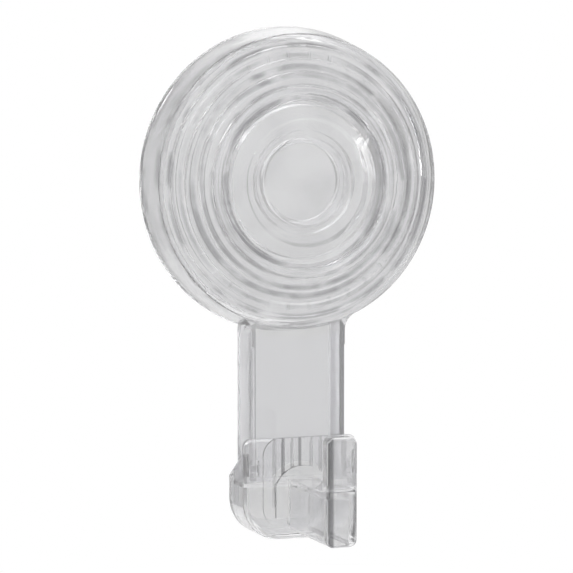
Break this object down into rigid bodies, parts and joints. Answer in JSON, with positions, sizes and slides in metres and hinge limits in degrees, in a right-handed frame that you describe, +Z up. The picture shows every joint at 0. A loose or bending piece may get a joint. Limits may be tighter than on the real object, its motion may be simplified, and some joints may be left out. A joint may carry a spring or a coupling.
{
  "type": "suction cup hook",
  "caption": "Clear suction cup with a stepped round cover, a channel neck and a clip-on hook with a flat floor and an upright tip.",
  "frame": {"origin": "on the wall, on the axis of the round disc", "axes": "+Z up, the wall is the plane y = 0, and the front of the hook faces -Y"},
  "size_m": [0.0844, 0.0454, 0.1408],
  "materials": {
    "clear_bracket": "clear, polished",
    "clear_cup": "clear, soft, slightly hazy",
    "clear_hook": "clear, polished"
  },
  "bodies": {
    "root": {"bracket": "clear_bracket", "suction_cup": "clear_cup", "hook": "clear_hook"}
  },
  "joints": []
}
